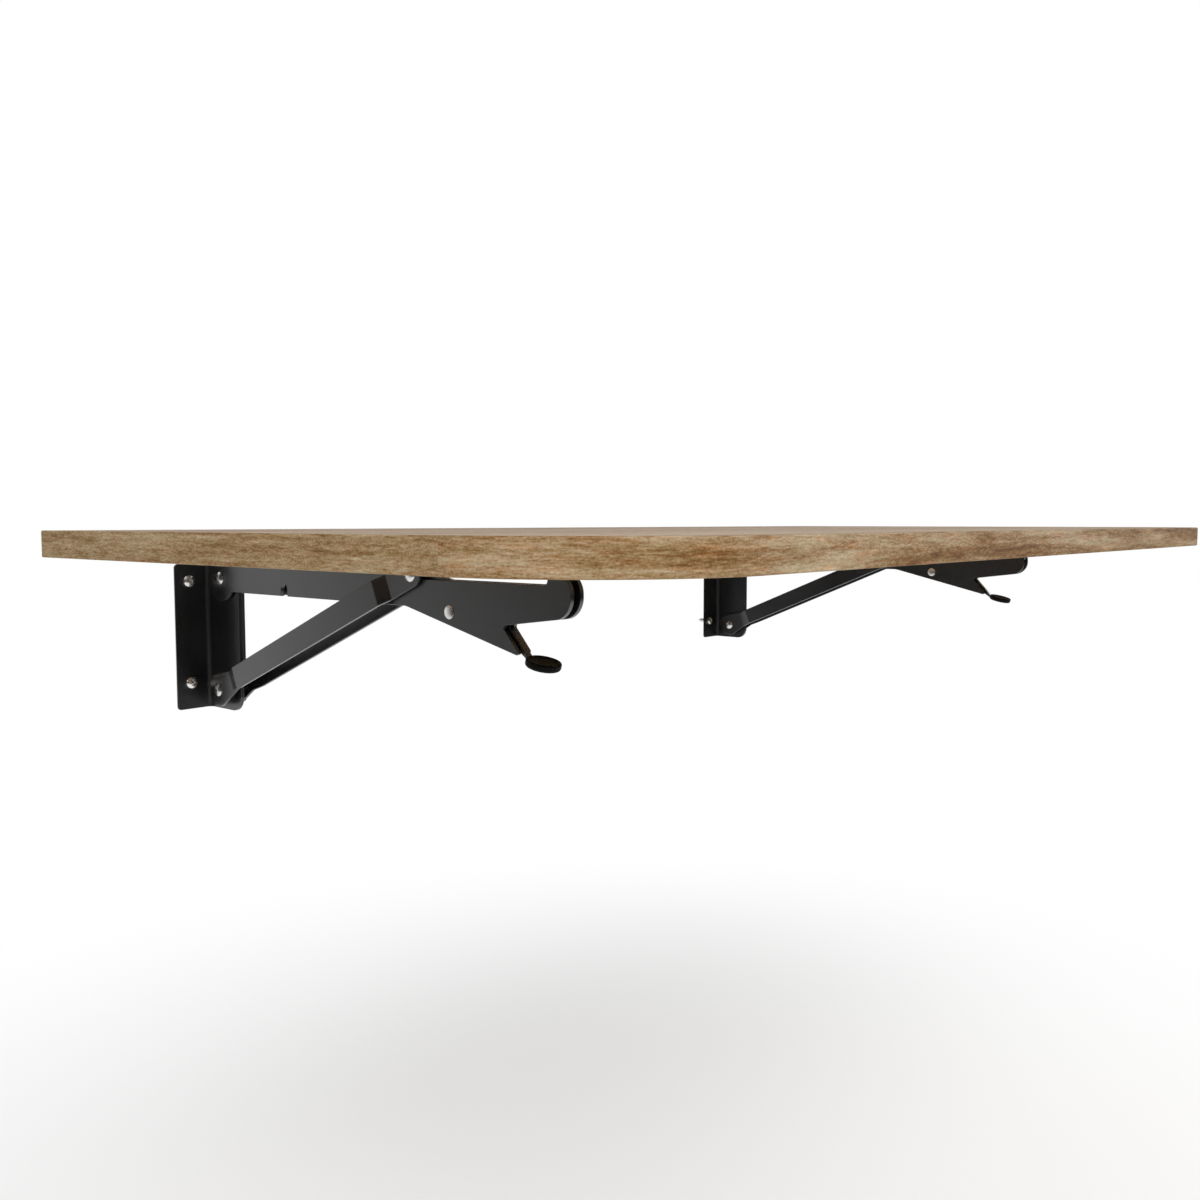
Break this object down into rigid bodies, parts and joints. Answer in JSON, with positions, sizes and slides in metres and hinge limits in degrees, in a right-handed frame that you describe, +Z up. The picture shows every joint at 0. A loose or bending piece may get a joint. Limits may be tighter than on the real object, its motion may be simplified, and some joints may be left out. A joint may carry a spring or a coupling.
{
  "type": "wall mounted drop leaf table",
  "caption": "Rectangular wood-look leaf with two rounded front corners on two black folding brackets that lock open with sliding struts and spring release levers.",
  "frame": {"origin": "on the wall plane, in the middle of the rectangle of the eight wall screws", "axes": "+X along the wall, +Y into the wall, +Z up; the open leaf reaches towards -Y"},
  "size_m": [1, 0.559, 0.1415],
  "materials": {
    "board_laminate": "wood grain laminate, satin",
    "edge_band": "wood coloured edge band, satin",
    "black_steel": "black powder coat, satin",
    "zinc": "bright zinc plated",
    "spring_steel": "bright wire",
    "pad_black": "black moulded plastic, satin"
  },
  "bodies": {
    "wall_mounts": {"wall_angle_outer_left": "black_steel", "wall_angle_outer_right": "black_steel", "wall_angle_inner_left": "black_steel", "wall_angle_inner_right": "black_steel", "wall_screws_left": "zinc", "wall_screws_right": "zinc", "arm_hinge_rivet_left": "zinc", "arm_hinge_rivet_right": "zinc", "arm_hinge_washers_left": "zinc", "arm_hinge_washers_right": "zinc", "strut_foot_rivet_left": "zinc", "strut_foot_rivet_right": "zinc"},
    "leaf": {"tabletop_board": "board_laminate", "edge_band_front": "edge_band", "edge_band_back": "edge_band", "arm_outer_left": "black_steel", "arm_outer_right": "black_steel", "arm_inner_left": "black_steel", "arm_inner_right": "black_steel", "arm_screws_left": "zinc", "arm_screws_right": "zinc", "lever_rivet_left": "zinc", "lever_rivet_right": "zinc", "lever_spring_left": "spring_steel", "lever_spring_right": "spring_steel"},
    "strut_left": {"strut_outer_left": "black_steel", "strut_inner_left": "black_steel", "strut_head_rivets_left": "zinc"},
    "pin_rollers_left": {"slot_rollers_left": "zinc"},
    "lever_left": {"release_lever_left": "black_steel", "thumb_pad_left": "pad_black"},
    "strut_right": {"strut_outer_right": "black_steel", "strut_inner_right": "black_steel", "strut_head_rivets_right": "zinc"},
    "pin_rollers_right": {"slot_rollers_right": "zinc"},
    "lever_right": {"release_lever_right": "black_steel", "thumb_pad_right": "pad_black"}
  },
  "joints": [
    {"name": "leaf_fold", "type": "hinge", "parent": "wall_mounts", "child": "leaf", "pos_m": [0, -0.026, 0.0425], "axis": [1, 0, 0], "range_deg": [0, 87]},
    {"name": "strut_fold_left", "type": "hinge", "parent": "wall_mounts", "child": "strut_left", "pos_m": [-0.355, -0.0255, -0.0445], "axis": [1, 0, 0], "range_deg": [0, 106.16]},
    {"name": "pin_slide_left", "type": "slide", "parent": "leaf", "child": "pin_rollers_left", "axis": [0, -1, 0], "range_m": [0, 0.10661]},
    {"name": "lever_release_left", "type": "hinge", "parent": "leaf", "child": "lever_left", "pos_m": [-0.355, -0.292, 0.0304], "axis": [-1, 0, 0], "range_deg": [0, 14], "stiffness_Nm_per_rad": 0.25, "springref_deg": -28.65},
    {"name": "strut_fold_right", "type": "hinge", "parent": "wall_mounts", "child": "strut_right", "pos_m": [0.355, -0.0255, -0.0445], "axis": [1, 0, 0], "range_deg": [0, 106.16]},
    {"name": "pin_slide_right", "type": "slide", "parent": "leaf", "child": "pin_rollers_right", "axis": [0, -1, 0], "range_m": [0, 0.10661]},
    {"name": "lever_release_right", "type": "hinge", "parent": "leaf", "child": "lever_right", "pos_m": [0.355, -0.292, 0.0304], "axis": [-1, 0, 0], "range_deg": [0, 14], "stiffness_Nm_per_rad": 0.25, "springref_deg": -28.65}
  ],
  "couplings": [
    {"joint": "strut_fold_left", "follows": "leaf_fold", "ratio": 1.22},
    {"joint": "pin_slide_left", "follows": "leaf_fold", "m_per_rad": 0.070146},
    {"joint": "strut_fold_right", "follows": "leaf_fold", "ratio": 1.22},
    {"joint": "pin_slide_right", "follows": "leaf_fold", "m_per_rad": 0.070146}
  ]
}
